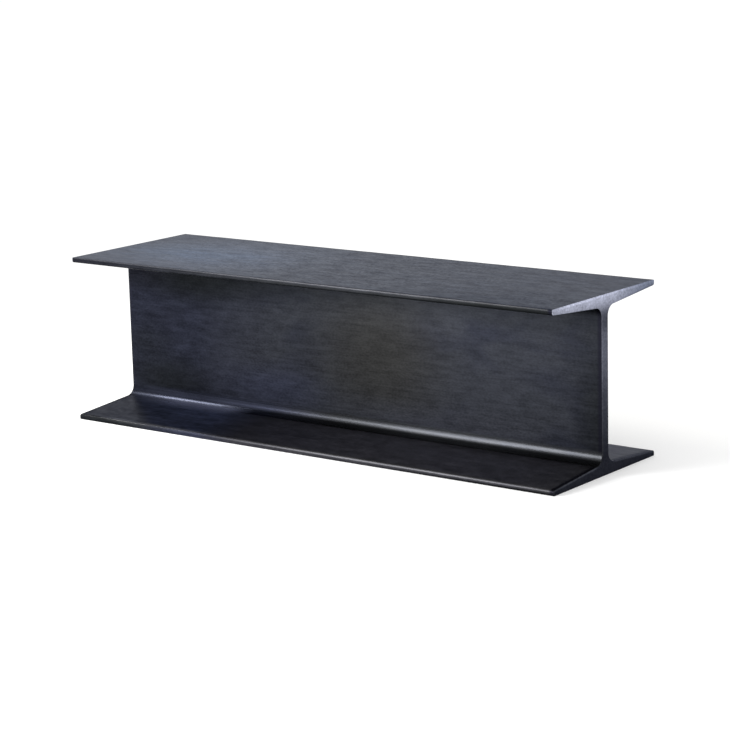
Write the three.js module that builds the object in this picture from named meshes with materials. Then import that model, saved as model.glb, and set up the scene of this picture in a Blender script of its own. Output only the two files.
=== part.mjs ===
// A cut length of hot-rolled wide-flange steel beam, lying on its lower flange.
//
// Millimetres, +Z up. The origin is the middle of the underside, the beam runs
// along X and its flanges spread along Y.
//
// The section is drawn as the rolls leave it: a web of even thickness, and
// flanges that thicken from the toe to the root, where a fillet carries each
// slope into the web. The length is sawn square and its end edges are eased.

import * as THREE from "three";

// ---- driving dimensions ------------------------------------------------------

const LENGTH = 1219.2; // sawn length, 4 ft
const DEPTH = 355.6; // over both flanges, 14 in
const FLANGE_WIDTH = 368.3; // 14 1/2 in
const WEB_THICKNESS = 21.5;
const TOE_THICKNESS = 11.0; // flange at its edge, before the corners are rounded
const ROOT_THICKNESS = 24.8; // flange where its slope would reach the web
const ROOT_FILLET = 21.0; // radius between web and flange
const TOE_ROUND = 4.5; // radius of the flange edge's inner corner
const OUTER_ROUND = 2.0; // radius of the flange edge's outer corner
const END_EASE = 1.5; // radius of the edges round each sawn end

const ARC_STEPS = 5; // three.js cuts every arc of the section into twice this many
const EASE_STEPS = 3; // bands that round each end's edges

const STEEL_COLOUR = 0x3b4149;

// ---- section -----------------------------------------------------------------

// The section is centred on its own middle, x across the flanges and y up the
// web. Each arc is { x, y, radius, from, to, clockwise } and the straight faces
// run between one arc and the next, so the arcs alone make the outline.

const halfWidth = FLANGE_WIDTH / 2;
const halfDepth = DEPTH / 2;
const halfWeb = WEB_THICKNESS / 2;
const slope = Math.atan2(ROOT_THICKNESS - TOE_THICKNESS, halfWidth - halfWeb);

// Height of the upper flange's inner face at a distance x from the middle.
function innerFace(x) {
  return halfDepth - TOE_THICKNESS - (halfWidth - x) * Math.tan(slope);
}

// The three arcs of the upper right quarter, from the web out to the flange's
// outer face. A circle that touches the slope has its centre one radius from it,
// which is radius / cos(slope) measured straight up or down.
function quarterArcs() {
  const filletX = halfWeb + ROOT_FILLET;
  const toeX = halfWidth - TOE_ROUND;
  return [
    {
      x: filletX,
      y: innerFace(filletX) - ROOT_FILLET / Math.cos(slope),
      radius: ROOT_FILLET,
      from: Math.PI,
      to: Math.PI / 2 + slope,
      clockwise: true,
    },
    {
      x: toeX,
      y: innerFace(toeX) + TOE_ROUND / Math.cos(slope),
      radius: TOE_ROUND,
      from: slope - Math.PI / 2,
      to: 0,
      clockwise: false,
    },
    {
      x: halfWidth - OUTER_ROUND,
      y: halfDepth - OUTER_ROUND,
      radius: OUTER_ROUND,
      from: 0,
      to: Math.PI / 2,
      clockwise: false,
    },
  ];
}

// The same arc on the other side of the web. It is also run backwards, so it
// keeps its clockwise mark.
function mirrored(arc) {
  return { ...arc, x: -arc.x, from: Math.PI - arc.to, to: Math.PI - arc.from };
}

// The same arc turned half a turn about the middle of the section.
function halfTurned(arc) {
  return { ...arc, x: -arc.x, y: -arc.y, from: arc.from + Math.PI, to: arc.to + Math.PI };
}

function beamSection() {
  const right = quarterArcs();
  const left = right.map(mirrored).reverse();
  const upperHalf = [...right, ...left];
  const section = new THREE.Shape();
  for (const arc of [...upperHalf, ...upperHalf.map(halfTurned)]) {
    section.absarc(arc.x, arc.y, arc.radius, arc.from, arc.to, arc.clockwise);
  }
  section.closePath();
  return section;
}

// ---- beam --------------------------------------------------------------------

// The extrusion's bevel eases the end edges: it starts END_EASE inside the
// section at the sawn face and comes out to the full section END_EASE further in.
function beamGeometry() {
  return new THREE.ExtrudeGeometry(beamSection(), {
    depth: LENGTH - 2 * END_EASE,
    curveSegments: ARC_STEPS,
    bevelEnabled: true,
    bevelThickness: END_EASE,
    bevelSize: END_EASE,
    bevelOffset: -END_EASE,
    bevelSegments: EASE_STEPS,
  });
}

const steel = new THREE.MeshStandardMaterial({
  color: STEEL_COLOUR,
  metalness: 0.85,
  roughness: 0.42,
});

const beam = new THREE.Mesh(beamGeometry(), steel);
beam.name = "i_beam";

// The section's x goes along world Y, its y up Z, and the extrusion along X.
const alongY = new THREE.Vector3(0, 1, 0);
const alongZ = new THREE.Vector3(0, 0, 1);
const alongX = new THREE.Vector3(1, 0, 0);
beam.quaternion.setFromRotationMatrix(
  new THREE.Matrix4().makeBasis(alongY, alongZ, alongX),
);
beam.position.set(END_EASE - LENGTH / 2, 0, halfDepth);

const model = new THREE.Group();
model.add(beam);

export default model;
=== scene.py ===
"""The looks of a sawn length of blackened, waxed, rolled steel beam.

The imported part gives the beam's place and overall size. This script sweeps the
rolled section along it as one fine surface, dresses that surface with a rolled
skin and two sawn ends, and sets it on a pale floor in soft studio light.

Everything is in metres, +Z up, with the beam along X.
"""

import logging
import math
from dataclasses import dataclass
from enum import Enum
from functools import cached_property

import bpy
import numpy as np
from mathutils import Matrix, Vector


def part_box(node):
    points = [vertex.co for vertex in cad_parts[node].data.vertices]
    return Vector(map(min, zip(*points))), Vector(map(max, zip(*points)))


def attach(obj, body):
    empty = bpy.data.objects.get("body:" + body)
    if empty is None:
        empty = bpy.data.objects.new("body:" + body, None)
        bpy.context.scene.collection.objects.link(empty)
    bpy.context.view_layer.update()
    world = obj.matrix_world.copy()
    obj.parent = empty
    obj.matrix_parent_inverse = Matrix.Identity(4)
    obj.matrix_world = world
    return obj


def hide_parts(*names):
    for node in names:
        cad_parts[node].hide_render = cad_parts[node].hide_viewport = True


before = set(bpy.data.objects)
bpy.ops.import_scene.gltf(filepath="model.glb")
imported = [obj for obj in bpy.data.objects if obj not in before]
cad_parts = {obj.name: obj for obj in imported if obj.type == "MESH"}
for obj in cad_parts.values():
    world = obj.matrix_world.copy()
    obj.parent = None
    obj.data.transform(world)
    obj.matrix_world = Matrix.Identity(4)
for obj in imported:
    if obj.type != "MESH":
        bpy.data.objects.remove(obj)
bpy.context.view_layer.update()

MM = 0.001
FULL_TURN = 2 * math.pi
QUARTER_TURN = math.pi / 2
BEAM_NODE = "i_beam"

Point = tuple[float, float, float]
Arc = tuple[float, float, float, float, float, float]
Colour = tuple[float, float, float, float]
Socket = bpy.types.NodeSocket

logging.basicConfig(level=logging.INFO, format="%(levelname)s %(message)s")
log = logging.getLogger("steel_beam")


class Skin(Enum):
    """The two finishes on the beam, by their place in its material list."""

    ROLLED = 0
    SAWN = 1


# ---- the rolled section --------------------------------------------------------
#
# A row of the outline holds y, z, outward normal y, outward normal z, wear and polish.

PLACE = slice(0, 2)
NORMAL = slice(2, 4)
MARKS = slice(4, 6)
NORMAL_Z = 3
WEAR = 4
POLISH = 5


@dataclass(frozen=True)
class SectionSizes:
    """Sizes of the rolled section, in metres."""

    depth: float
    flange_width: float
    web: float = 21.5 * MM
    toe: float = 11.0 * MM
    root: float = 24.8 * MM
    root_fillet: float = 21.0 * MM
    toe_round: float = 4.5 * MM
    outer_round: float = 2.0 * MM

    @property
    def slope(self) -> float:
        """Angle of a flange's inner face to level, in radians."""
        return math.atan2(self.root - self.toe, (self.flange_width - self.web) / 2)

    def inner_face(self, y: float) -> float:
        """Height of the upper flange's inner face at y, above mid-depth."""
        run_out = self.flange_width / 2 - y
        return self.depth / 2 - self.toe - run_out * math.tan(self.slope)


@dataclass(frozen=True)
class Outline:
    """A closed outline, counter-clockwise seen from +X, as arrays of one row a point."""

    points: np.ndarray
    normals: np.ndarray
    wear: np.ndarray
    polish: np.ndarray

    @property
    def travel(self) -> np.ndarray:
        """Distance round the outline to each point, and back to the first."""
        steps = np.roll(self.points, -1, axis=0) - self.points
        return np.concatenate([[0.0], np.cumsum(np.hypot(steps[:, 0], steps[:, 1]))])


@dataclass
class RolledSection:
    """The beam's section as a rounded outline, tangent wherever two stretches meet.

    Wear fades over edge_fade beside a rounded edge, and polish over fillet_fade
    beside a fillet. An edge that faces sideways has the share side_wear of the wear.
    The share changes by turned_wear from there to straight up, and stays in 0 to 1.
    """

    sizes: SectionSizes
    flat_step: float = 6.0 * MM
    fillet_steps: int = 14
    corner_steps: int = 6
    edge_fade: float = 4.5 * MM
    fillet_fade: float = 7.0 * MM
    side_wear: float = 0.40
    turned_wear: float = 2.2

    def quarter_arcs(self) -> list[Arc]:
        """Gives the arcs of the quarter at +Y, +Z, from the web to the outer face.

        A circle that touches the slope has its centre one radius from it, which is
        radius / cos(slope) straight up or down.

        Returns:
            A row for each arc: centre y, centre z, radius, first angle, last angle,
            and 1 for a rounded edge or -1 for the hollow of the fillet.
        """
        s = self.sizes
        lean = math.cos(s.slope)
        fillet_y = s.web / 2 + s.root_fillet
        toe_y = s.flange_width / 2 - s.toe_round
        return [
            (fillet_y, s.inner_face(fillet_y) - s.root_fillet / lean, s.root_fillet,
             FULL_TURN / 2, QUARTER_TURN + s.slope, -1.0),
            (toe_y, s.inner_face(toe_y) + s.toe_round / lean, s.toe_round,
             s.slope - QUARTER_TURN, 0.0, 1.0),
            (s.flange_width / 2 - s.outer_round, s.depth / 2 - s.outer_round, s.outer_round,
             0.0, QUARTER_TURN, 1.0),
        ]

    def arc(self, row: Arc) -> np.ndarray:
        """Samples one arc.

        Args:
            row: An arc as quarter_arcs gives it.

        Returns:
            Its rows. The rounded edges are worn and the fillets polished.
        """
        y, z, radius, first, last, side = row
        steps = self.corner_steps if side > 0 else self.fillet_steps
        angle = np.linspace(first, last, steps + 1)
        ray = np.stack([np.cos(angle), np.sin(angle)], axis=1)
        spot = np.array([y, z]) + radius * ray
        wear = np.full(len(angle), max(side, 0.0))
        return np.column_stack([spot, side * ray, wear, 1.0 - wear])

    def outline(self) -> Outline:
        """Joins the arcs of all four quarters with straight stretches.

        The quarter at -Y is the mirror image run backwards, and the lower half is
        the upper half turned half a turn. Between two arcs the points are evenly
        spaced, no more than flat_step apart.

        Returns:
            The whole outline, shifted so that the underside is at height 0. Edges
            that face down are hardly worn.
        """
        right = [self.arc(row) for row in self.quarter_arcs()]
        mirror = np.array([-1.0, 1.0, -1.0, 1.0, 1.0, 1.0])
        upper = right + [rows[::-1] * mirror for rows in reversed(right)]
        half_turn = np.array([-1.0, -1.0, -1.0, -1.0, 1.0, 1.0])
        arcs = upper + [rows * half_turn for rows in upper]
        stretches = []
        for rows, following in zip(arcs, arcs[1:] + arcs[:1]):
            stretches += [rows, self.straight(rows[-1], following[0])]
        table = np.concatenate(stretches)
        points = table[:, PLACE] + np.array([0.0, self.sizes.depth / 2])
        upward = np.clip(self.side_wear + self.turned_wear * table[:, NORMAL_Z], 0.0, 1.0)
        return Outline(points=points, normals=table[:, NORMAL], wear=table[:, WEAR] * upward,
                       polish=table[:, POLISH])

    def straight(self, start: np.ndarray, end: np.ndarray) -> np.ndarray:
        """Gives the points strictly between two arc ends.

        Args:
            start: Last row of one arc.
            end: First row of the next arc.

        Returns:
            Rows like an arc's, with the flat face's own normal. Wear and polish at a
            distance d from an arc are its own times (1 - d / fade) squared.
        """
        length = float(np.hypot(*(end[PLACE] - start[PLACE])))
        count = max(2, math.ceil(length / self.flat_step))
        share = (np.arange(1, count) / count)[:, None]
        rows = start + (end - start) * share
        fade = np.array([self.edge_fade, self.fillet_fade])
        near_start = start[MARKS] * np.clip(1 - share * length / fade, 0, 1) ** 2
        near_end = end[MARKS] * np.clip(1 - (1 - share) * length / fade, 0, 1) ** 2
        rows[:, MARKS] = np.maximum(near_start, near_end)
        return rows


# ---- the beam ------------------------------------------------------------------

# The columns of a place that lie across the beam, Y and Z.
ACROSS = slice(1, 3)


@dataclass(frozen=True)
class Waviness:
    """Slow unevenness of a rolled surface: a sum of sine waves in random directions."""

    seed: int
    waves: int
    shortest: float
    longest: float
    height: float

    def depth_at(self, places: np.ndarray) -> np.ndarray:
        """Works out how far the surface lies under its nominal place.

        Each wave is sin(k . place + phase), with a wavelength drawn between the
        shortest and the longest. Their sum is brought between 0 and height.

        Args:
            places: Array whose last axis is x, y, z.

        Returns:
            Depth in metres, never below 0, so nothing stands proud.
        """
        rng = np.random.default_rng(self.seed)
        way = rng.normal(size=(self.waves, 3))
        way /= np.linalg.norm(way, axis=1, keepdims=True)
        length = rng.uniform(self.shortest, self.longest, self.waves)
        phase = rng.uniform(0, FULL_TURN, self.waves)
        turns = places @ (way * (FULL_TURN / length)[:, None]).T + phase
        total = np.sin(turns).sum(axis=-1) / math.sqrt(self.waves)
        return self.height * (1 + np.tanh(total)) / 2


@dataclass
class SweptBeam:
    """The whole beam: the section carried along X, closed by two sawn faces."""

    section: RolledSection
    length: float
    end_ease: float = 1.5 * MM
    end_fade: float = 4.0 * MM
    ease_steps: int = 5
    close_rings: int = 4
    station_step: float = 6.2 * MM
    flats: Waviness = Waviness(seed=11, waves=24, shortest=0.12, longest=0.4, height=0.12 * MM)
    edges: Waviness = Waviness(seed=5, waves=30, shortest=0.03, longest=0.14, height=0.25 * MM)

    def stations(self) -> tuple[np.ndarray, np.ndarray]:
        """Places the rings along the beam.

        Round each sawn face the rings follow a quarter circle of radius r: at
        angle a the ring lies r(1 - cos a) from the face and is drawn in by
        r(1 - sin a). A few close rings follow, then even steps.

        Returns:
            Ring positions along X, and how far each ring is drawn in.
        """
        angle = np.linspace(0, QUARTER_TURN, self.ease_steps + 1)
        eased = self.end_ease * (1 - np.cos(angle))
        steps = np.arange(1, self.close_rings + 1) / self.close_rings
        close = self.end_ease + self.station_step * steps
        from_end = np.concatenate([eased, close])
        drawn = self.end_ease * (1 - np.sin(angle))
        drawn = np.concatenate([drawn, np.zeros(self.close_rings)])
        body = self.length - 2 * from_end[-1]
        count = math.ceil(body / self.station_step)
        middle = body * (np.arange(1, count) / count - 0.5)
        left = from_end - self.length / 2
        x = np.concatenate([left, middle, -left[::-1]])
        inset = np.concatenate([drawn, np.zeros(len(middle)), drawn[::-1]])
        return x, inset

    def rings(self, outline: Outline) -> tuple[np.ndarray, np.ndarray]:
        """Works out every point of the rolled surface.

        A point is the outline's point moved inwards along its normal by the ring's
        inset and by the surface's own unevenness. The unevenness is the slow
        waviness of the flats, passing into the livelier one of the edges as the
        outline's wear rises from 0 to 1. The wear is the greater of the outline's and
        of (1 - d / end_fade) squared at a distance d from the eased sawn edge.

        Args:
            outline: The section's outline.

        Returns:
            Places as (ring, point, xyz) and wear as (ring, point).
        """
        x, inset = self.stations()
        grid = (len(x), len(outline.points))
        across = outline.points[None] - outline.normals[None] * inset[:, None, None]
        along = np.broadcast_to(x[:, None, None], (*grid, 1))
        places = np.concatenate([along, across], axis=2)
        from_end = self.length / 2 - np.abs(x) - self.end_ease
        end_wear = np.clip(1 - from_end / self.end_fade, 0, 1) ** 2
        wear = np.maximum(end_wear[:, None], outline.wear[None])
        level = self.flats.depth_at(places)
        worn = self.edges.depth_at(places)
        depth = level * (1 - outline.wear) + worn * outline.wear
        places[:, :, ACROSS] -= outline.normals[None] * depth[:, :, None]
        return places, wear

    def mesh(self, name: str) -> bpy.types.Mesh:
        """Builds the closed mesh, with its surface map, its wear and polish and its skins.

        The four corners of a side face are ring k, points i and i + 1, then ring
        k + 1, points i + 1 and i, which turns the face outwards.

        Args:
            name: Name of the new mesh.

        Returns:
            The mesh, with rolled faces first and the two sawn faces last.
        """
        outline = self.section.outline()
        places, wear = self.rings(outline)
        rings, points = wear.shape
        ring, point = np.meshgrid(np.arange(rings - 1), np.arange(points), indexing="ij")
        ring, point = ring.ravel(), point.ravel()
        beside = (point + 1) % points
        base, after = ring * points, (ring + 1) * points
        quads = np.stack([base + point, base + beside, after + beside, after + point], axis=1)
        first_ring = np.arange(points)
        caps = [first_ring[::-1], first_ring + (rings - 1) * points]
        faces = quads.tolist() + [cap.tolist() for cap in caps]
        mesh = bpy.data.meshes.new(name)
        mesh.from_pydata(places.reshape(-1, 3).tolist(), [], faces)

        u, v = places[:, 0, 0], outline.travel
        quad_u = np.stack([u[ring], u[ring], u[ring + 1], u[ring + 1]], axis=1)
        quad_v = np.stack([v[point], v[point + 1], v[point + 1], v[point]], axis=1)
        sides = np.stack([quad_u, quad_v], axis=2).reshape(-1, 2)
        flat = places.reshape(-1, 3)[np.concatenate(caps), ACROSS]
        self.map_surface(mesh, np.concatenate([sides, flat]))
        self.mark_points(mesh, "wear", wear.ravel())
        self.mark_points(mesh, "polish", np.tile(outline.polish, rings))
        self.give_skins(mesh, (ring < self.ease_steps) | (ring >= rings - 1 - self.ease_steps))
        mesh.update()
        return mesh

    def map_surface(self, mesh: bpy.types.Mesh, corners: np.ndarray) -> None:
        """Adds a UV map in metres.

        On a rolled face U is the place along the beam and V the distance round the
        section. On a sawn face they are Y and Z.

        Args:
            mesh: The beam's mesh.
            corners: U and V for each corner of each face.
        """
        layer = mesh.uv_layers.new(name="surface")
        layer.data.foreach_set("uv", corners.astype(np.float32).ravel())

    def mark_points(self, mesh: bpy.types.Mesh, title: str, amounts: np.ndarray) -> None:
        """Keeps an amount for each point, which the finishes read.

        Args:
            mesh: The beam's mesh.
            title: Name of the amount.
            amounts: The amounts, from 0 to 1.
        """
        layer = mesh.attributes.new(title, "FLOAT", "POINT")
        layer.data.foreach_set("value", amounts.astype(np.float32))

    def give_skins(self, mesh: bpy.types.Mesh, eased: np.ndarray) -> None:
        """Gives each face its skin, and keeps the two sawn faces flat.

        Args:
            mesh: The beam's mesh.
            eased: For each side face, whether it lies on the sawn end's eased edge.
        """
        skin = np.full(len(mesh.polygons), Skin.ROLLED.value, np.int32)
        skin[:-2][eased] = Skin.SAWN.value
        skin[-2:] = Skin.SAWN.value
        smooth = np.ones(len(skin), bool)
        smooth[-2:] = False
        mesh.polygons.foreach_set("material_index", skin)
        mesh.polygons.foreach_set("use_smooth", smooth)


# ---- finishes ------------------------------------------------------------------
#
# Places are in metres on a beam that is 1.2192 long, 0.3683 wide and 0.3556 high. A
# cover says how much of what lies under it a thing hides, a light what a colour is
# multiplied by, and a swing how far the noise carries the colour or the metal.

TOP = 0.3556
WEB_FRONT = -0.011
TOE_FRONT = -0.184
RIGHT_END = 0.6096

OLIVE: Colour = (0.0178, 0.0175, 0.0166, 1)
# Near-black: painted shade under the upper flange, under the top's rounded edge and along the
# lowest edges, and elsewhere a darker tone.
SHADE_AND_DARK_TONE: Colour = (0.0050, 0.0058, 0.0060, 1)
# Dark violet, painted shade: under the upper flange at the far left, and beside the right sawn
# end.
VIOLET_SHADE: Colour = (0.0062, 0.0060, 0.0105, 1)

# How far a seed of 1 shifts a noise along X, Y and Z.
SEED_SHIFT: Point = (1.0, 0.7, -1.0)

# A Mix node's sockets share their names, so they are picked by number: the share,
# the first value, the second value and the result.
NUMBER_SOCKETS = (0, 2, 3, 0)
COLOUR_SOCKETS = (0, 6, 7, 2)


@dataclass(frozen=True)
class Ramp:
    """A number that changes evenly with another, as that one goes from start to stop.

    It is first at start and before it, and last at stop and past it.
    """

    start: float
    stop: float
    first: float = 0.0
    last: float = 1.0


@dataclass(frozen=True)
class Cloud:
    """A soft-edged patch: its middle, its half size along X, Y and Z, and its strength."""

    centre: Point
    reach: Point
    share: float = 1.0


@dataclass(frozen=True)
class Grain:
    """Soft noise.

    size is that of one patch along X, Y and Z in metres, detail the octaves of finer
    noise on top, distortion how much the patches are pulled about, and seed a shift
    that gives another pattern.
    """

    size: Point
    detail: float = 2.0
    distortion: float = 0.0
    seed: float = 0.0


class Recipe:
    """One material's nodes, built a step at a time on the piece's own coordinates."""

    def __init__(self, name: str) -> None:
        """Starts a material with a shader and nothing else.

        Args:
            name: Name of the material.
        """
        self.material = bpy.data.materials.new(name)
        self.material.use_nodes = True
        self.tree = self.material.node_tree
        self.shader = self.tree.nodes["Principled BSDF"]

    @cached_property
    def place(self) -> Socket:
        """The place on the piece, in metres."""
        return self.add("ShaderNodeTexCoord").outputs["Object"]

    @cached_property
    def axes(self) -> list[Socket]:
        """The place along X, Y and Z, in metres."""
        return list(self.add("ShaderNodeSeparateXYZ", {0: self.place}).outputs)

    def add(self, kind: str, inputs: dict | None = None, **settings) -> bpy.types.Node:
        """Adds a node.

        Args:
            kind: Blender's name for the node type.
            inputs: Values or sockets, by input name or number.
            **settings: Attributes of the node.

        Returns:
            The new node.
        """
        node = self.tree.nodes.new(kind)
        for name, value in settings.items():
            setattr(node, name, value)
        for socket, value in (inputs or {}).items():
            self.feed(node.inputs[socket], value)
        return node

    def feed(self, socket: Socket, value: object) -> None:
        """Links a socket to another, or sets its number or colour.

        Args:
            socket: The socket that takes the value.
            value: Another socket, a number or a colour.
        """
        if isinstance(value, Socket):
            self.tree.links.new(value, socket)
        else:
            socket.default_value = value

    def finish(self, inputs: dict) -> bpy.types.Material:
        """Gives the shader its inputs and hands over the material.

        Args:
            inputs: Sockets, numbers or colours, by the names of the shader's inputs.

        Returns:
            The material.
        """
        for name, value in inputs.items():
            self.feed(self.shader.inputs[name], value)
        return self.material

    def attribute(self, name: str) -> Socket:
        """Gives a number that the mesh keeps for each point."""
        return self.add("ShaderNodeAttribute", attribute_name=name).outputs["Fac"]

    def placed(self, scale: Point, shift: Point) -> Socket:
        """Gives the place on the piece, scaled along each axis and then shifted."""
        return self.add("ShaderNodeMapping", {
            "Vector": self.place, "Scale": scale, "Location": shift,
        }).outputs["Vector"]

    def noise(self, grain: Grain) -> Socket:
        """Gives soft noise around 0.5.

        Args:
            grain: Its size, detail, distortion and seed.

        Returns:
            The noise.
        """
        scale = tuple(1 / length for length in grain.size)
        shift = tuple(grain.seed * way for way in SEED_SHIFT)
        return self.add("ShaderNodeTexNoise", {
            "Vector": self.placed(scale, shift), "Scale": 1.0,
            "Detail": grain.detail, "Distortion": grain.distortion,
        }).outputs["Fac"]

    def bloom(self, cloud: Cloud) -> Socket:
        """Gives a soft cloud: its share at its middle, falling to 0 at its reach.

        The distance from the middle is measured in reaches, axis by axis.

        Args:
            cloud: Its middle, reach and share.

        Returns:
            The cloud's strength.
        """
        scale = tuple(1 / length for length in cloud.reach)
        shift = tuple(-c * s for c, s in zip(cloud.centre, scale))
        spot = self.placed(scale, shift)
        far = self.add("ShaderNodeVectorMath", {0: spot}, operation="LENGTH").outputs["Value"]
        return self.add("ShaderNodeMapRange", {
            "Value": far, "From Min": 1.0, "From Max": 0.0, "To Max": cloud.share,
        }, interpolation_type="SMOOTHERSTEP").outputs["Result"]

    def ramp(self, value: Socket, ramp: Ramp) -> Socket:
        """Gives a ramp's number for a value."""
        return self.add("ShaderNodeMapRange", {
            "Value": value, "From Min": ramp.start, "From Max": ramp.stop,
            "To Min": ramp.first, "To Max": ramp.last,
        }).outputs["Result"]

    def math(self, operation: str, *values: object) -> Socket:
        """Combines one to three numbers by one of Blender's math operations."""
        return self.add("ShaderNodeMath", dict(enumerate(values)),
                        operation=operation).outputs["Value"]

    def product(self, first: Socket, *others: object) -> Socket:
        """Multiplies numbers.

        Args:
            first: The first number.
            *others: The others.

        Returns:
            Their product.
        """
        for value in others:
            first = self.math("MULTIPLY", first, value)
        return first

    def greatest(self, first: Socket, *others: object) -> Socket:
        """Compares numbers.

        Args:
            first: The first number.
            *others: The others.

        Returns:
            The greatest of them.
        """
        for value in others:
            first = self.math("MAXIMUM", first, value)
        return first

    def rest(self, share: Socket) -> Socket:
        """Gives what a share leaves of 1."""
        return self.math("SUBTRACT", 1.0, share)

    def away(self, value: Socket, place: float = 0.0) -> Socket:
        """Gives how far a number is from a place, to either side of it."""
        return self.math("ABSOLUTE", self.math("SUBTRACT", value, place))

    def slanted(self, slope: float) -> Socket:
        """Gives the place along X, plus the slope times the way from the beam's middle plane."""
        x, y, _ = self.axes
        return self.math("MULTIPLY_ADD", self.away(y), slope, x)

    def mix(self, share: object, first: object, second: object) -> Socket:
        """Mixes two numbers by a share from 0 to 1."""
        return self.mixed(NUMBER_SOCKETS, (share, first, second))

    def blend(self, share: object, first: object, second: object, mode: str = "MIX") -> Socket:
        """Mixes two colours by a share from 0 to 1."""
        return self.mixed(COLOUR_SOCKETS, (share, first, second),
                          data_type="RGBA", blend_type=mode)

    def mixed(self, sockets: tuple[int, ...], values: tuple, **settings) -> Socket:
        """Adds a Mix node.

        Args:
            sockets: Numbers of its three inputs and of its output.
            values: The share, the first and the second value.
            **settings: Attributes of the node.

        Returns:
            The mixture.
        """
        *inputs, result = sockets
        node = self.add("ShaderNodeMix", dict(zip(inputs, values)), **settings)
        return node.outputs[result]

    def tint(self, colour: object, amount: Socket) -> Socket:
        """Multiplies a colour by a number."""
        return self.blend(1.0, colour, amount, mode="MULTIPLY")

    def bump(self, height: Socket, distance: float, under: Socket | None = None) -> Socket:
        """Turns a height from 0 to 1 into a tilt of the surface.

        Args:
            height: The height.
            distance: What a height of 1 measures, in metres.
            under: The tilt that this one lies on, if any.

        Returns:
            The tilted normal.
        """
        inputs = {"Height": height, "Distance": distance}
        if under is not None:
            inputs["Normal"] = under
        return self.add("ShaderNodeBump", inputs).outputs["Normal"]


@dataclass(frozen=True)
class SkinMasks:
    """What the rolled skin is laid out by, as numbers over the surface.

    streaks and mottle are noise about 0.5, swing goes from -1 to 1, and each of the
    others is 1 where the thing is and 0 elsewhere.
    """

    streaks: Socket
    mottle: Socket
    swing: Socket
    top: Socket
    lower_flange: Socket
    left_tip: Socket
    back: Socket
    polish: Socket
    wear: Socket
    # the painted glow below the fillets' highlight
    glow: Socket
    # painted shade along the lowest edges
    bottom_shade: Socket
    # painted shade beside the right sawn end
    end_shade: Socket


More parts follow.
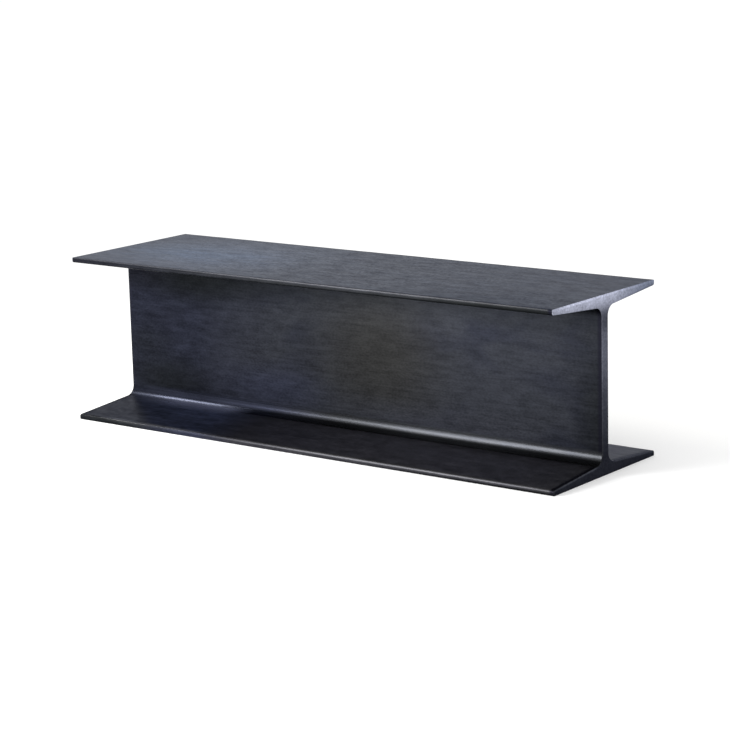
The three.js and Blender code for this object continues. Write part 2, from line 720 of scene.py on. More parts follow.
@dataclass(frozen=True)
class UpperTones:
    """The slow changes of colour over the web and the upper flange.

    Slate turns to blotched navy at the left and to olive in the middle, under a
    lighter crest, a painted reflection, with a cobalt cloud low on the web and a
    painted highlight right of it: a paler halo at the web's foot. Near-black clouds
    darken some parts, and painted shade darkens the web under the flange and the
    flange's underside.
    """

    slate: Colour = (0.0195, 0.0210, 0.0265, 1)
    navy: Colour = (0.0102, 0.0114, 0.0186, 1)
    cobalt: Colour = (0.0157, 0.0178, 0.0300, 1)
    halo_paler: Colour = (0.0262, 0.0278, 0.0350, 1)

    left: Ramp = Ramp(-0.16, -0.42)
    patches: Grain = Grain((0.16, 0.09, 0.09), detail=3, distortion=0.6)
    patch_cover: Ramp = Ramp(0.45, 0.65, 0.0, 0.55)
    blotches: Grain = Grain((0.055, 0.05, 0.03), seed=4.4)
    blotch_light: Ramp = Ramp(0.35, 0.65, 0.85, 1.15)

    olive_cloud: Cloud = Cloud((0.075, WEB_FRONT, 0.18), (0.265, 0.3, 0.25), 0.9)
    cobalt_cloud: Cloud = Cloud((-0.21, WEB_FRONT, 0.080), (0.24, 0.1, 0.08), 0.8)
    # painted reflection: the upper web lighter, where it reflects the brighter floor farther off
    lit_crest_cloud: Cloud = Cloud((0.14, WEB_FRONT, 0.275), (0.42, 0.1, 0.07), 0.25)
    # Near-black clouds: the first is painted shade, the rest a darker tone.
    shade_and_dark_clouds: tuple[Cloud, ...] = (
        # painted shade: the web's top at the left, under the upper flange
        Cloud((-0.42, WEB_FRONT, 0.30), (0.22, 0.1, 0.09), 0.70),
        Cloud((-0.50, WEB_FRONT, 0.07), (0.20, 0.1, 0.08), 0.70),
        Cloud((-0.08, WEB_FRONT, 0.15), (0.42, 0.1, 0.24), 0.25),
        Cloud((-0.57, WEB_FRONT, 0.145), (0.13, 0.1, 0.07), 0.45),
        Cloud((0.62, WEB_FRONT, 0.12), (0.12, 0.1, 0.27), 0.70),
        Cloud((0.50, TOE_FRONT, TOP), (0.40, 0.22, 0.04), 0.85),
    )

    # painted highlight: a paler halo at the foot of the web, right of the middle, above the
    # fillet's highlight
    halo_height: Ramp = Ramp(0.10, 0.05)
    halo_left: Ramp = Ramp(-0.10, 0.10)
    halo_right: Ramp = Ramp(0.50, 0.42, 0.0, 0.8)

    shade_bottom: Ramp = Ramp(0.262, 0.297)
    shade_top: Ramp = Ramp(0.340, 0.335)
    shade_cover: Ramp = Ramp(0.10, -0.25, 0.10, 0.45)
    underside: Ramp = Ramp(0.25, 0.325)
    topside: Ramp = Ramp(0.3530, 0.3552)
    under_cover: float = 0.5
    under_left: Ramp = Ramp(-0.45, -0.58, 0.0, 0.75)

    def colour(self, r: Recipe) -> Socket:
        """Lays the tones over each other, dark clouds and painted shade after slate, navy and
        olive.

        Args:
            r: The material's recipe.

        Returns:
            The colour.
        """
        x, _, height = r.axes
        left = r.ramp(x, self.left)
        patches = r.ramp(r.noise(self.patches), self.patch_cover)
        colour = r.blend(r.greatest(left, patches), self.slate, self.navy)
        blotches = r.ramp(r.noise(self.blotches), self.blotch_light)
        colour = r.tint(colour, r.mix(left, 1.0, blotches))
        colour = r.blend(r.bloom(self.olive_cloud), colour, OLIVE)
        for cloud in self.shade_and_dark_clouds:
            colour = r.blend(r.bloom(cloud), colour, SHADE_AND_DARK_TONE)
        colour = r.tint(colour, r.math("ADD", r.bloom(self.lit_crest_cloud), 1.0))
        colour = r.blend(r.bloom(self.cobalt_cloud), colour, self.cobalt)
        painted_foot_light = r.product(r.ramp(height, self.halo_height), r.ramp(x, self.halo_left),
                         r.ramp(x, self.halo_right))
        return self.shaded(r, r.blend(painted_foot_light, colour, self.halo_paler))

    def shaded(self, r: Recipe, colour: Socket) -> Socket:
        """Paints shade on the web under the upper flange, and on the flange's underside.

        Args:
            r: The material's recipe.
            colour: The colour without the shade.

        Returns:
            The colour with the shade on it.
        """
        x, _, height = r.axes
        shade = r.product(r.ramp(height, self.shade_bottom), r.ramp(height, self.shade_top),
                          r.ramp(x, self.shade_cover))
        colour = r.blend(shade, colour, SHADE_AND_DARK_TONE)
        # painted shade on the flange's underside and the web just below it, violet at the far
        # left
        under = r.math("SUBTRACT", r.ramp(height, self.underside), r.ramp(height, self.topside))
        colour = r.blend(r.product(under, self.under_cover), colour, SHADE_AND_DARK_TONE)
        return r.blend(r.product(under, r.ramp(x, self.under_left)), colour, VIOLET_SHADE)


@dataclass(frozen=True)
class LowerTones:
    """The slow changes of colour over the lower flange's inner faces and edges.

    They are plum in front, indigo at the back, and a little olive at the right.
    Past a slanted border at the left they are midnight, with deep navy inside the
    front edge: a painted pool of bluish light that reaches the flange past the upper
    flange's left end, its border a painted shadow edge. Past another border the tip
    is pewter. The outer edges turn darker to the left, with a painted highlight, a
    pearly strip, beside the front one.
    """

    plum: Colour = (0.0240, 0.0234, 0.0292, 1)
    indigo: Colour = (0.0180, 0.0210, 0.0400, 1)
    # painted light: the bluish pool on the lower flange at the left
    lit_midnight: Colour = (0.0165, 0.0185, 0.0330, 1)
    lit_deep_navy: Colour = (0.0124, 0.0152, 0.0292, 1)
    pewter: Colour = (0.0185, 0.0205, 0.0250, 1)
    highlight_pearl: Colour = (0.0680, 0.0690, 0.0780, 1)

    face: Ramp = Ramp(0.1815, 0.1785)
    edge_light: Ramp = Ramp(-0.30, 0.20, 0.66, 1.04)
    face_light: Ramp = Ramp(-0.24, 0.16, 0.52, 0.97)
    face_right: Ramp = Ramp(0.38, 0.60, 1.0, 0.78)
    olive_cover: Ramp = Ramp(0.50, 0.60, 0.0, 0.4)

    # painted shadow edge: where the upper flange's left end cuts the bluish light off
    lit_border_slope: float = -0.15
    lit_border: Ramp = Ramp(-0.205, -0.315)
    paler_cloud: Cloud = Cloud((-0.345, -0.078, 0.0), (0.14, 0.06, 0.1), 0.45)
    deep_light: Ramp = Ramp(0.13, 0.03, 0.94, 0.70)

    tip_slope: float = -1.13
    tip_border: float = -0.637
    tip: Ramp = Ramp(0.030, -0.015)
    tip_cover: float = 0.9
    tip_light: Ramp = Ramp(-0.59, -0.50, 1.05, 1.25)

    # a darker tone along the outer edges at the left
    dark_edge_across: Ramp = Ramp(0.174, 0.182)
    dark_edge_cover: Ramp = Ramp(-0.28, -0.50, 0.0, 0.8)
    # painted highlight: a pearly strip inside the front toe's rounded edge, at the left
    toe_highlight_across: Ramp = Ramp(0.1715, 0.1765)
    toe_highlight_height: Ramp = Ramp(0.0098, 0.0114)
    toe_highlight_right: Ramp = Ramp(-0.20, -0.42, 0.0, 0.72)
    toe_highlight_left: Ramp = Ramp(-0.575, -0.50)

    def from_tip(self, r: Recipe) -> Socket:
        """Gives the way along X from the slanted border of the left tip."""
        return r.math("SUBTRACT", r.slanted(self.tip_slope), self.tip_border)

    def tip_mask(self, r: Recipe) -> Socket:
        """Marks the left tip."""
        return r.ramp(self.from_tip(r), self.tip)

    def colour(self, r: Recipe, m: SkinMasks) -> Socket:
        """Lays the tones over each other, from plum to the pearly painted highlight.

        Args:
            r: The material's recipe.
            m: Where each thing is.

        Returns:
            The colour.
        """
        x, y, _ = r.axes
        face = r.ramp(r.away(y), self.face)
        front = r.rest(m.back)
        face_light = r.product(r.ramp(x, self.face_light), r.ramp(x, self.face_right))
        plum = r.tint(self.plum, r.mix(face, r.ramp(x, self.edge_light), face_light))
        plum = r.blend(m.back, plum, self.indigo)
        deep_light = r.math("ADD", r.bloom(self.paler_cloud),
                            r.ramp(self.from_tip(r), self.deep_light))
        lit_deep_navy = r.tint(self.lit_deep_navy, deep_light)
        lit_midnight = r.blend(r.product(face, front), self.lit_midnight, lit_deep_navy)
        colour = r.blend(r.ramp(r.slanted(self.lit_border_slope), self.lit_border), plum, lit_midnight)
        colour = r.blend(r.ramp(x, self.olive_cover), colour, OLIVE)
        pewter = r.tint(self.pewter, r.ramp(x, self.tip_light))
        colour = r.blend(r.product(m.left_tip, self.tip_cover), colour, pewter)
        return self.edged(r, front, colour)

    def edged(self, r: Recipe, front: Socket, colour: Socket) -> Socket:
        """Adds the darker outer edges, and the painted highlight, a pearly strip, beside the
        front one.

        Args:
            r: The material's recipe.
            front: 1 on the front half and 0 on the back half.
            colour: The colour without them.

        Returns:
            The colour with them.
        """
        x, y, height = r.axes
        out = r.away(y)
        edge = r.product(r.ramp(out, self.dark_edge_across), r.ramp(x, self.dark_edge_cover))
        colour = r.blend(edge, colour, SHADE_AND_DARK_TONE)
        across = r.product(r.ramp(out, self.toe_highlight_across), r.ramp(height, self.toe_highlight_height))
        along = r.product(r.ramp(x, self.toe_highlight_right), r.ramp(x, self.toe_highlight_left))
        return r.blend(r.product(across, along, front), colour, self.highlight_pearl)


@dataclass(frozen=True)
class Haze:
    """Pale haze on the top face, thin on the rounded edge; at the left a painted azure
    highlight.
    """

    pale: Colour = (0.104, 0.125, 0.178, 1)
    # painted highlight: the bluer hue of a broad highlight band on the top at the left
    highlight_azure: Colour = (0.091, 0.123, 0.192, 1)
    pale_cloud: Cloud = Cloud((-0.34, 0.0, TOP), (0.42, 0.31, 0.1))
    highlight_azure_cloud: Cloud = Cloud((-0.40, -0.02, TOP), (0.36, 0.17, 0.1))
    cover: Ramp = Ramp(0.0, 1.0, 0.24, 0.60)
    highlight_azure_extra: float = 0.12
    swing: Ramp = Ramp(-0.30, 0.05, 0.30, 0.60)
    rounded_edge: Ramp = Ramp(0.1810, 0.1832)
    edge_cover: Ramp = Ramp(-0.45, -0.10, 0.1, 1.0)

    def lay(self, r: Recipe, m: SkinMasks, colour: Socket) -> Socket:
        """Lays the haze over a colour: thicker in the painted azure highlight, uneven with the
        swing.

        Args:
            r: The material's recipe.
            m: Where each thing is.
            colour: The colour under the haze.

        Returns:
            The colour with the haze on it.
        """
        x, y, _ = r.axes
        highlight_azure = r.bloom(self.highlight_azure_cloud)
        cover = r.ramp(r.bloom(self.pale_cloud), self.cover)
        thicker = r.math("MULTIPLY_ADD", highlight_azure, self.highlight_azure_extra, 1.0)
        uneven = r.math("MULTIPLY_ADD", m.swing, r.ramp(x, self.swing), 1.0)
        on_edge = r.ramp(r.away(y), self.rounded_edge)
        thinner = r.mix(on_edge, 1.0, r.ramp(x, self.edge_cover))
        cover = r.product(m.top, cover, thicker, uneven, thinner)
        return r.blend(cover, colour, r.blend(highlight_azure, self.pale, self.highlight_azure))


@dataclass(frozen=True)
class PolishedFillets:
    """The lower root fillets: blued at the left and burnished at the right.

    The blued part has a darker dip. The burnished part is calmer in the middle of
    the beam, and in one stretch right of it brightest at the fillet's foot, and
    brighter again above its upper rim. The dip, the calmer middle and that stretch
    are painted highlight, which trims and shifts the fillets' highlight.
    """

    blued: Colour = (0.0210, 0.0232, 0.0368, 1)
    burnished: Colour = (0.0270, 0.0280, 0.0300, 1)
    cover: Ramp = Ramp(0.3, 0.7, 0.6, 0.9)
    left_end: Ramp = Ramp(-0.60, -0.50)
    lower_half: Ramp = Ramp(0.20, 0.15)

    blued_part: Ramp = Ramp(-0.05, -0.22)
    # painted highlight: these trim and shift the fillets' highlight along and across them
    highlight_dip_place: float = -0.41
    highlight_dip: Ramp = Ramp(0.0, 0.06, 0.75, 1.0)
    middle: Ramp = Ramp(0.16, 0.06, 1.0, 0.76)
    highlight_left: Ramp = Ramp(0.0, 0.16)
    highlight_right: Ramp = Ramp(0.50, 0.34)
    painted_foot_light: Ramp = Ramp(0.0285, 0.0385, 1.9, 0.62)
    rim: Ramp = Ramp(0.0395, 0.0425, 0.0, 0.45)

    def mask(self, r: Recipe) -> Socket:
        """Marks the polished fillets, which leave out the left end."""
        x, _, height = r.axes
        return r.product(r.attribute("polish"), r.ramp(x, self.left_end),
                         r.ramp(height, self.lower_half))

    def lay(self, r: Recipe, m: SkinMasks, colour: Socket) -> Socket:
        """Lays the fillets' own colour, with its painted highlight, over another, uneven with
        the mottle.

        Args:
            r: The material's recipe.
            m: Where each thing is.
            colour: The colour under the polish.

        Returns:
            The colour with the fillets on it.
        """
        x, _, height = r.axes
        blued = r.tint(self.blued, r.ramp(r.away(x, self.highlight_dip_place), self.highlight_dip))
        bright = r.product(r.ramp(x, self.highlight_left), r.ramp(x, self.highlight_right))
        across = r.math("ADD", r.ramp(height, self.painted_foot_light), r.ramp(height, self.rim))
        light = r.product(r.mix(bright, 1.0, across), r.ramp(r.away(x), self.middle))
        burnished = r.tint(self.burnished, light)
        own = r.blend(r.ramp(x, self.blued_part), burnished, blued)
        return r.blend(r.product(m.polish, r.ramp(m.mottle, self.cover)), colour, own)


@dataclass(frozen=True)
class RubbedEdges:
    """The worn edges: the upper ones less to the left, the lower ones hardly there.

    The lower ones have a short lighter patch at the left, and all are calmer at the far
    right. The wear is real on the rounded edges, but how much it lightens them along the
    beam is painted highlight, set to match the edges' highlights.
    """

    rubbed: Colour = (0.0760, 0.0755, 0.0810, 1)
    cover: Ramp = Ramp(0.3, 0.7, 0.7, 1.0)
    upper_half: Ramp = Ramp(0.10, 0.30)
    upper: Ramp = Ramp(-0.55, 0.0, 0.32, 0.76)
    lower: Ramp = Ramp(-0.27, 0.05, 0.12, 0.95)
    patch_place: float = -0.45
    patch: Ramp = Ramp(0.10, 0.02, 0.0, 0.10)
    far_right: Ramp = Ramp(0.38, 0.60, 1.0, 0.66)

    def mask(self, r: Recipe, beside_end: Socket) -> Socket:
        """Marks the rubbed edges.

        Args:
            r: The material's recipe.
            beside_end: The last few millimetres before the right sawn end, which
                nothing has rubbed.

        Returns:
            The mask.
        """
        x, _, height = r.axes
        patch = r.ramp(r.away(x, self.patch_place), self.patch)
        lower = r.math("ADD", patch, r.ramp(x, self.lower))
        rubbing = r.mix(r.ramp(height, self.upper_half), lower, r.ramp(x, self.upper))
        calmer = r.ramp(x, self.far_right)
        return r.product(r.attribute("wear"), rubbing, calmer, r.rest(beside_end))

    def lay(self, r: Recipe, m: SkinMasks, colour: Socket) -> Socket:
        """Lays the rubbed steel over a colour, uneven with the mottle."""
        return r.blend(r.product(m.wear, r.ramp(m.mottle, self.cover)), colour, self.rubbed)


@dataclass(frozen=True)
class PaintedGlow:
    """A painted highlight: a pale bluish glow along the foot of the web at the front left.

    Its right end slants: it lies further left away from the web.
    """

    glow_colour: Colour = (0.085, 0.094, 0.145, 1)
    cover: float = 0.40
    left_end: Ramp = Ramp(-0.60, -0.46)
    right_end: Ramp = Ramp(-0.24, -0.30)
    slope: float = 0.6
    outside: Ramp = Ramp(-0.060, -0.034)
    inside: Ramp = Ramp(-0.015, -0.022)
    height: Ramp = Ramp(0.040, 0.028)

    def mask(self, r: Recipe) -> Socket:
        """Marks the strip.

        Args:
            r: The material's recipe.

        Returns:
            The mask.
        """
        x, y, height = r.axes
        right_end = r.ramp(r.slanted(self.slope), self.right_end)
        return r.product(r.ramp(x, self.left_end), right_end, r.ramp(y, self.outside),
                         r.ramp(y, self.inside), r.ramp(height, self.height))

    def lay(self, r: Recipe, m: SkinMasks, colour: Socket) -> Socket:
        """Lays the painted glow over a colour."""
        return r.blend(r.product(m.glow, self.cover), colour, self.glow_colour)


@dataclass(frozen=True)
class PaintedShade:
    """Painted shade under the top's rounded edge, along the lowest edges and beside the saw cut.
    """

    # painted shade: a dark line under the top's rounded edge, along the toe
    lip_top: Ramp = Ramp(0.3520, 0.3500)
    lip_bottom: Ramp = Ramp(0.3440, 0.3455)
    lip_cover: Ramp = Ramp(-0.30, -0.05, 0.0, 0.5)
    lip_right: Ramp = Ramp(0.25, 0.45, 0.0, 0.35)
    # painted shade: the bottom few millimetres, darker to the right
    bottom_shade_height: Ramp = Ramp(0.0055, 0.0030)
    bottom_shade_along: Ramp = Ramp(-0.10, 0.45)
    bottom_shade_cover: float = 0.9
    # the last millimetres before the right sawn end: painted with shade, and left unrubbed
    beside_end: Ramp = Ramp(0.5965, 0.6020)
    below_top: Ramp = Ramp(0.3553, 0.3545, 0.0, 0.75)

    def bottom_shade_mask(self, r: Recipe) -> Socket:
        """Marks the painted shade along the lowest edges, more to the right."""
        x, _, height = r.axes
        return r.product(r.ramp(height, self.bottom_shade_height), r.ramp(x, self.bottom_shade_along))

    def end_shade_mask(self, r: Recipe, polish: Socket) -> Socket:
        """Marks the painted shade beside the right sawn end, below the top and off the polish.
        """
        x, _, height = r.axes
        return r.product(r.ramp(x, self.beside_end), r.ramp(height, self.below_top),
                         r.rest(polish))

    def lay(self, r: Recipe, m: SkinMasks, colour: Socket) -> Socket:
        """Lays the painted shade over a colour.

        Args:
            r: The material's recipe.
            m: Where each thing is.
            colour: The colour under the painted shade.

        Returns:
            The colour with the painted shade on it.
        """
        x, _, height = r.axes
        lip = r.product(r.ramp(height, self.lip_top), r.ramp(height, self.lip_bottom))
        lip_shade = r.math("ADD", r.ramp(x, self.lip_cover), r.ramp(x, self.lip_right))
        colour = r.blend(r.product(lip, lip_shade), colour, SHADE_AND_DARK_TONE)
        colour = r.blend(r.product(m.bottom_shade, self.bottom_shade_cover), colour, SHADE_AND_DARK_TONE)
        return r.blend(m.end_shade, colour, VIOLET_SHADE)


@dataclass(frozen=True)
class MetalShare:
    """How much of the reflection is the steel's own.

    The rest is the weak, clear reflection of the wax. The steel's share is more on
    the top near the front right and along the hem there, least in the painted glow,
    and most where the skin is polished, rubbed or painted with shade. The swing takes
    some of it away, and more of it in the middle of the top.
    """

    web: float = 0.60
    lower: float = 0.45
    back: float = 0.60
    left_tip: float = 0.67
    bare: float = 0.90
    # the steel's share in the painted glow
    glow: float = 0.30
    top: Ramp = Ramp(-0.45, 0.45, 0.47, 0.55)
    clear: float = 0.09
    clear_cloud: Cloud = Cloud((0.50, TOE_FRONT, TOP), (0.42, 0.20, 0.04))
    hem_weight: float = 2.0
    hem_across: Ramp = Ramp(-0.1765, -0.1815)
    hem_along: Ramp = Ramp(0.10, 0.35)
    swing: float = 0.22
    middle_swing: Ramp = Ramp(0.35, 0.15, 0.0, 0.16)

    def share(self, r: Recipe, m: SkinMasks) -> Socket:
        """Works out the steel's share.

        Args:
            r: The material's recipe.
            m: Where each thing is.

        Returns:
            The share, from 0 to 1.
        """
        x, y, _ = r.axes
        lower = r.mix(m.back, self.lower, self.back)
        lower = r.mix(m.left_tip, lower, self.left_tip)
        hem = r.product(r.ramp(y, self.hem_across), r.ramp(x, self.hem_along))
        clear = r.math("MULTIPLY_ADD", hem, self.hem_weight, r.bloom(self.clear_cloud))
        top = r.math("MULTIPLY_ADD", clear, self.clear, r.ramp(x, self.top))
        share = r.mix(m.top, r.mix(m.lower_flange, self.web, lower), top)
        middle_top = r.product(m.top, r.ramp(r.away(x), self.middle_swing))
        taken = r.product(m.swing, r.math("ADD", middle_top, self.swing))
        share = r.product(share, r.rest(taken))
        bare = r.greatest(m.polish, m.wear, m.bottom_shade, m.end_shade)
        return r.mix(m.glow, r.mix(bare, share, self.bare), self.glow)


@dataclass(frozen=True)
class RolledSkin:
    """Blackened mill surface under wax: streaked along the beam and softly mottled."""

    streaks: Grain = Grain((0.09, 0.0130, 0.0035), detail=4, seed=3.1)
    mottle: Grain = Grain((0.045, 0.020, 0.012), detail=5, seed=7.7)
    flecks: Grain = Grain((0.0058, 0.0100, 0.0030), detail=1, seed=5.5)
    scratches: Grain = Grain((0.03, 0.0080, 0.0012), detail=3, seed=1.3)
    streak_weight: float = 0.8
    mottle_weight: float = 1.25
    fleck_weight: float = 1.15
    swing: Ramp = Ramp(-0.4, 0.4, -1.0, 1.0)
    colour_swing: float = 0.32

    top: Ramp = Ramp(0.3545, 0.3554)
    lower_flange: Ramp = Ramp(0.030, 0.022)
    back: Ramp = Ramp(0.0, 0.03)

    edge_reflection: Colour = (0.32, 0.34, 0.40, 1)
    body_reflection: float = 0.1
    streak_rough: Ramp = Ramp(0.3, 0.7, 0.31, 0.40)
    fillet_rough: float = 0.25
    edge_rough: float = 0.47
    scratch_depth: float = 0.03 * MM
    mottle_depth: float = 0.12 * MM

    upper_tones: UpperTones = UpperTones()
    lower_tones: LowerTones = LowerTones()
    haze: Haze = Haze()
    fillets: PolishedFillets = PolishedFillets()
    edges: RubbedEdges = RubbedEdges()
    # painted highlight: the glow below the fillets' highlight at the front left
    glow: PaintedGlow = PaintedGlow()
    # painted shade: under the top's edge, along the lowest edges and beside the right sawn end
    painted_shade: PaintedShade = PaintedShade()
    metal: MetalShare = MetalShare()

    def material(self) -> bpy.types.Material:
        """Builds the finish.

        Returns:
            The material.
        """
        r = Recipe("blackened_rolled_skin")
        m = self.masks(r)
        return r.finish({
            "Base Color": self.colour(r, m),
            "Metallic": self.metal.share(r, m),
            "Specular IOR Level": self.body_reflection,
            "Specular Tint": self.edge_reflection,
            "Roughness": self.roughness(r, m),
            "Normal": self.relief(r, m),
        })

    def masks(self, r: Recipe) -> SkinMasks:
        """Works out where each thing on the skin is.

        Args:
            r: The material's recipe.

        Returns:
            The masks.
        """
        x, y, height = r.axes
        streaks = r.noise(self.streaks)
        mottle = r.noise(self.mottle)
        polish = self.fillets.mask(r)
        return SkinMasks(
            streaks=streaks,
            mottle=mottle,
            swing=self.swinging(r, streaks, mottle),
            top=r.ramp(height, self.top),
            lower_flange=r.ramp(height, self.lower_flange),
            left_tip=self.lower_tones.tip_mask(r),
            back=r.ramp(y, self.back),
            polish=polish,
            wear=self.edges.mask(r, r.ramp(x, self.painted_shade.beside_end)),
            glow=self.glow.mask(r),
            bottom_shade=self.painted_shade.bottom_shade_mask(r),
            end_shade=self.painted_shade.end_shade_mask(r, polish),
        )

    def swinging(self, r: Recipe, streaks: Socket, mottle: Socket) -> Socket:
        """Adds up streaks, mottle and flecks.

        Each is taken by its weight, and half the sum of the weights is taken off,
        which brings the sum about 0.

        Args:
            r: The material's recipe.
            streaks: Noise drawn out along the beam.
            mottle: Softer noise.

        Returns:
            The swing, from -1 to 1.
        """
        total = r.math("MULTIPLY_ADD", streaks, self.streak_weight,
                       r.product(mottle, self.mottle_weight))
        total = r.math("MULTIPLY_ADD", r.noise(self.flecks), self.fleck_weight, total)
        weights = self.streak_weight + self.mottle_weight + self.fleck_weight
        return r.ramp(r.math("SUBTRACT", total, weights / 2), self.swing)

    def colour(self, r: Recipe, m: SkinMasks) -> Socket:
        """Lays the colours over each other: steel, haze, fillets, edges, painted glow and
        painted shade.

        Args:
            r: The material's recipe.
            m: Where each thing is.

        Returns:
            The colour.
        """
        upper = self.upper_tones.colour(r)
        colour = r.blend(m.lower_flange, upper, self.lower_tones.colour(r, m))
        colour = r.tint(colour, r.math("MULTIPLY_ADD", m.swing, self.colour_swing, 1.0))
        for layer in (self.haze, self.fillets, self.edges, self.glow, self.painted_shade):
            colour = layer.lay(r, m, colour)
        return colour

    def roughness(self, r: Recipe, m: SkinMasks) -> Socket:
        """Gives the roughness: uneven with the streaks, even on fillets and edges."""
        rough = r.mix(m.polish, r.ramp(m.streaks, self.streak_rough), self.fillet_rough)
        return r.mix(m.wear, rough, self.edge_rough)

    def relief(self, r: Recipe, m: SkinMasks) -> Socket:
        """Gives the tilt of the surface: fine scratches along the beam, then the mottle."""
        scratched = r.bump(r.noise(self.scratches), self.scratch_depth)
        return r.bump(m.mottle, self.mottle_depth, under=scratched)


@dataclass(frozen=True)
class SawnEnd:
    """Sawn steel, bright along the upper flange and darkened down the web.

    The two ends are alike, but for the darker neck under the upper flange, which is
    at the right end only.
    """

    bright: Colour = (0.415, 0.435, 0.535, 1)
    shaded: Colour = (0.180, 0.203, 0.270, 1)
    dull: Colour = (0.118, 0.124, 0.155, 1)
    dark: Colour = (0.0235, 0.0250, 0.0300, 1)
    edge_reflection: Colour = (0.40, 0.40, 0.45, 1)
    roughness: float = 0.42
    grain: Grain = Grain((0.004, 0.004, 0.004), detail=3, seed=2.2)
    blotches: Grain = Grain((0.03, 0.03, 0.03), detail=2, seed=6.1)
    blotch_weight: float = 0.4
    grain_light: Ramp = Ramp(0.4, 1.0, 0.60, 1.40)
    grain_depth: float = 0.1 * MM

    lower_web: Ramp = Ramp(0.05, 0.16, 0.0, 0.33)
    upper_web: Ramp = Ramp(0.155, 0.235, 0.0, 0.67)
    neck: Cloud = Cloud((RIGHT_END, 0.0, 0.302), (0.1, 0.1, 0.032), 0.5)
    flange: Ramp = Ramp(0.322, 0.346)
    flange_back: Ramp = Ramp(0.02, 0.14)

    # painted highlight along the upper flange's upper edge
    rim: Ramp = Ramp(0.3500, 0.3530)
    rim_light: float = 1.3
    brightest_light: float = 1.5
    brightest_front: Ramp = Ramp(-0.165, -0.145)
    brightest_back: Ramp = Ramp(-0.06, -0.09)
    front_tip: Ramp = Ramp(-0.150, -0.176, 1.0, 0.70)

    # painted highlight: a light line where the lower flange's upper edge catches light
    ledge: Ramp = Ramp(0.0042, 0.0018)
    ledge_highlight: float = 2.3
    ledge_height: Ramp = Ramp(0.10, 0.05)
    ledge_out: Ramp = Ramp(0.024, 0.038)
    # painted shade along the upper flange's lower edge
    hem: Ramp = Ramp(0.0045, 0.0010)
    hem_shade: float = 0.6
    hem_height: Ramp = Ramp(0.25, 0.30)
    hem_back: Ramp = Ramp(0.05, 0.13)

    def material(self, sizes: SectionSizes) -> bpy.types.Material:
        """Builds the finish.

        Args:
            sizes: Sizes of the section that the saw went through.

        Returns:
            The material.
        """
        r = Recipe("sawn_end")
        grain = r.noise(self.grain)
        uneven = r.math("MULTIPLY_ADD", r.noise(self.blotches), self.blotch_weight, grain)
        colour = r.tint(self.tones(r), self.rim_highlight(r))
        colour = r.tint(colour, self.edges(r, sizes))
        return r.finish({
            "Base Color": r.tint(colour, r.ramp(uneven, self.grain_light)),
            "Metallic": 1.0,
            "Specular Tint": self.edge_reflection,
            "Roughness": self.roughness,
            "Normal": r.bump(grain, self.grain_depth),
        })

    def tones(self, r: Recipe) -> Socket:
        """Lays out the slow changes of colour: up the web, and across the upper flange.

        Args:
            r: The material's recipe.

        Returns:
            The colour.
        """
        _, y, height = r.axes
        up = r.math("ADD", r.ramp(height, self.lower_web), r.ramp(height, self.upper_web))
        web = r.blend(up, self.dark, self.dull)
        web = r.blend(r.bloom(self.neck), web, self.dark)
        flange = r.blend(r.ramp(y, self.flange_back), self.bright, self.shaded)
        return r.blend(r.ramp(height, self.flange), web, flange)

    def rim_highlight(self, r: Recipe) -> Socket:
        """Paints a highlight along the upper flange's upper edge, least at the front tip.

        Args:
            r: The material's recipe.

        Returns:
            The light.
        """
        _, y, height = r.axes
        brightest = r.product(r.ramp(y, self.brightest_front), r.ramp(y, self.brightest_back))
        along = r.mix(brightest, self.rim_light, self.brightest_light)
        light = r.mix(r.ramp(height, self.rim), 1.0, along)
        return r.product(light, r.ramp(y, self.front_tip))

    def edges(self, r: Recipe, sizes: SectionSizes) -> Socket:
        """Paints a highlight on the lower flange's upper edge, shade on the upper flange's lower
        edge.

        At a distance d from the flange's edge the flange is toe + d tan(slope) thick.

        Args:
            r: The material's recipe.
            sizes: Sizes of the section.

        Returns:
            The light.
        """
        _, y, height = r.axes
        out = r.away(y)
        rise = math.tan(sizes.slope)
        thick = r.math("MULTIPLY_ADD", out, -rise, sizes.toe + rise * sizes.flange_width / 2)
        below = r.math("SUBTRACT", thick, height)
        ledge = r.product(r.ramp(below, self.ledge), r.ramp(height, self.ledge_height),
                          r.ramp(out, self.ledge_out))
        above = r.math("SUBTRACT", r.math("ADD", thick, height), sizes.depth)
        hem = r.product(r.ramp(above, self.hem), r.ramp(height, self.hem_height),
                        r.ramp(y, self.hem_back))
        return r.product(r.mix(ledge, 1.0, self.ledge_highlight), r.mix(hem, 1.0, self.hem_shade))


@dataclass(frozen=True)
class PaleFloor:
    """Smooth matt studio floor, which the camera and reflections see as white."""

    colour: Colour = (0.82, 0.82, 0.82, 1)
    roughness: float = 0.9
    lift: float = 0.22
    lift_colour: Colour = (1, 1, 1, 1)

    def material(self) -> bpy.types.Material:
        """Builds the finish.

        Returns:
            The material.
        """
        r = Recipe("pale_floor")
        path = r.add("ShaderNodeLightPath").outputs
        seen = r.greatest(path["Is Camera Ray"], path["Is Glossy Ray"],
                          path["Is Transmission Ray"])
        return r.finish({
            "Base Color": self.colour,
            "Roughness": self.roughness,
            "Specular IOR Level": 0.0,
            "Emission Color": self.lift_colour,
            "Emission Strength": r.product(seen, self.lift),
        })


# ---- pieces --------------------------------------------------------------------


def new_object(name: str, data: bpy.types.ID) -> bpy.types.Object:
    """Makes an object and puts it in the scene.

    Args:
        name: Its name.
        data: Its mesh, lamp or camera.

    Returns:
        The object.
    """
    piece = bpy.data.objects.new(name, data)
    bpy.context.scene.collection.objects.link(piece)
    return piece


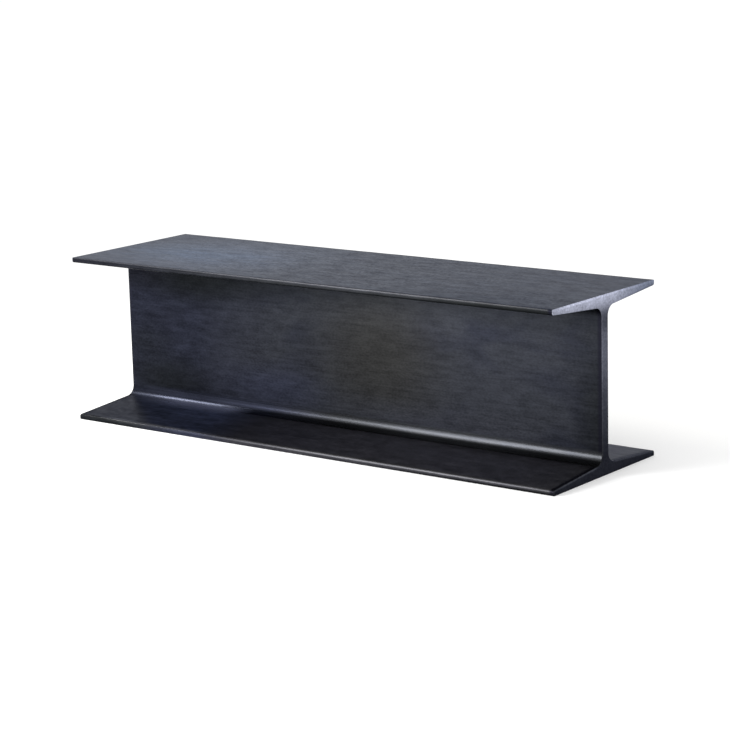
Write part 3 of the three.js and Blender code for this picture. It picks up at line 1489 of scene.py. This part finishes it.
def looking(spot: Point, aim: Point, roll: float) -> Matrix:
    """Works out the placement of a lamp or camera.

    Args:
        spot: Where it is, in metres.
        aim: The point it faces.
        roll: Its turn about the line to the aim, in degrees.

    Returns:
        The placement.
    """
    way = Vector(aim) - Vector(spot)
    turn = way.to_track_quat("-Z", "Y").to_matrix().to_4x4()
    return Matrix.Translation(spot) @ turn @ Matrix.Rotation(math.radians(roll), 4, "Z")


@dataclass
class SteelBeam:
    """The beam as one dressed piece."""

    swept: SweptBeam
    rolled: RolledSkin = RolledSkin()
    sawn: SawnEnd = SawnEnd()

    def build(self) -> bpy.types.Object:
        """Makes the piece, dresses it and sets it on the beam's body in the frame.

        Returns:
            The piece.
        """
        mesh = self.swept.mesh("rolled_beam")
        mesh.materials.append(self.rolled.material())
        mesh.materials.append(self.sawn.material(self.swept.section.sizes))
        piece = new_object("rolled_beam", mesh)
        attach(piece, "root")
        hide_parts(BEAM_NODE)
        return piece


@dataclass(frozen=True)
class View:
    """Where the camera stands, what it is aimed at, its tilt in degrees, and its lens."""

    spot: Point = (2.9786, -3.8647, 1.1877)
    aim: Point = (0.0317, 0.0, 0.1555)
    tilt: float = -1.443
    lens_mm: float = 118.96
    sensor_mm: float = 36.0


@dataclass(frozen=True)
class SoftBox:
    """One rectangular soft light.

    It hangs at spot and faces aim, with its width and height in metres, its power in
    watts, and its roll about the line to the aim in degrees.
    """

    name: str
    spot: Point
    aim: Point
    size: tuple[float, float]
    power: float
    colour: Point = (1, 1, 1)
    roll: float = 0.0

    def build(self) -> None:
        """Hangs the light where the camera doesn't see it."""
        lamp = bpy.data.lights.new(self.name, "AREA")
        lamp.shape = "RECTANGLE"
        lamp.size, lamp.size_y = self.size
        lamp.energy = self.power
        lamp.color = self.colour
        piece = new_object(self.name, lamp)
        piece.visible_camera = False
        piece.matrix_world = looking(self.spot, self.aim, self.roll)


@dataclass
class Studio:
    """Floor, soft lights, even surroundings and the camera."""

    view: View = View()
    floor: PaleFloor = PaleFloor()
    floor_reach: float = 60.0
    floor_sides: int = 96
    surroundings: Colour = (1, 1, 1, 1)
    surroundings_power: float = 1.0
    soft_boxes: tuple[SoftBox, ...] = (
        SoftBox("key", spot=(-0.78, -1.65, 0.70), aim=(0.20, 0, 0.15), size=(0.78, 1.10),
                power=46.0, roll=40),
        SoftBox("high", spot=(-1.04, -1.25, 1.31), aim=(0.26, -0.03, 0.04), size=(0.38, 0.42),
                power=3.6),
        SoftBox("side", spot=(-1.48, -0.22, 1.20), aim=(-0.45, 0, 0.05), size=(0.4, 0.3),
                power=10.8, colour=(1, 0.97, 0.84)),
    )

    def build(self) -> None:
        """Makes everything round the beam."""
        self.lay_floor()
        self.set_world()
        for soft_box in self.soft_boxes:
            soft_box.build()
        self.place_camera()
        bpy.context.scene.view_settings.view_transform = "Standard"

    def lay_floor(self) -> None:
        """Lays a round floor under the beam."""
        turn = np.linspace(0, FULL_TURN, self.floor_sides, endpoint=False)
        level = np.zeros(self.floor_sides)
        rim = np.column_stack([np.cos(turn), np.sin(turn), level]) * self.floor_reach
        mesh = bpy.data.meshes.new("studio_floor")
        mesh.from_pydata(rim.tolist(), [], [list(range(self.floor_sides))])
        mesh.materials.append(self.floor.material())
        piece = new_object("studio_floor", mesh)

    def set_world(self) -> None:
        """Surrounds the beam with even white."""
        world = bpy.data.worlds.new("studio")
        world.use_nodes = True
        back = world.node_tree.nodes["Background"]
        back.inputs["Color"].default_value = self.surroundings
        back.inputs["Strength"].default_value = self.surroundings_power
        bpy.context.scene.world = world

    def place_camera(self) -> None:
        """Stands the camera, aimed and then tilted a little about its own line of sight."""
        camera = bpy.data.cameras.new("camera")
        camera.sensor_width = self.view.sensor_mm
        camera.lens = self.view.lens_mm
        piece = new_object("camera", camera)
        piece.matrix_world = looking(self.view.spot, self.view.aim, self.view.tilt)
        bpy.context.scene.camera = piece


def main() -> None:
    """Builds the beam and the studio round it."""
    low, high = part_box(BEAM_NODE)
    length, width, depth = high - low
    section = RolledSection(SectionSizes(depth=depth, flange_width=width))
    beam = SteelBeam(SweptBeam(section=section, length=length)).build()
    log.info("%s: %d faces", beam.name, len(beam.data.polygons))
    Studio().build()
    log.info("studio built")


if __name__ == "__main__":
    main()
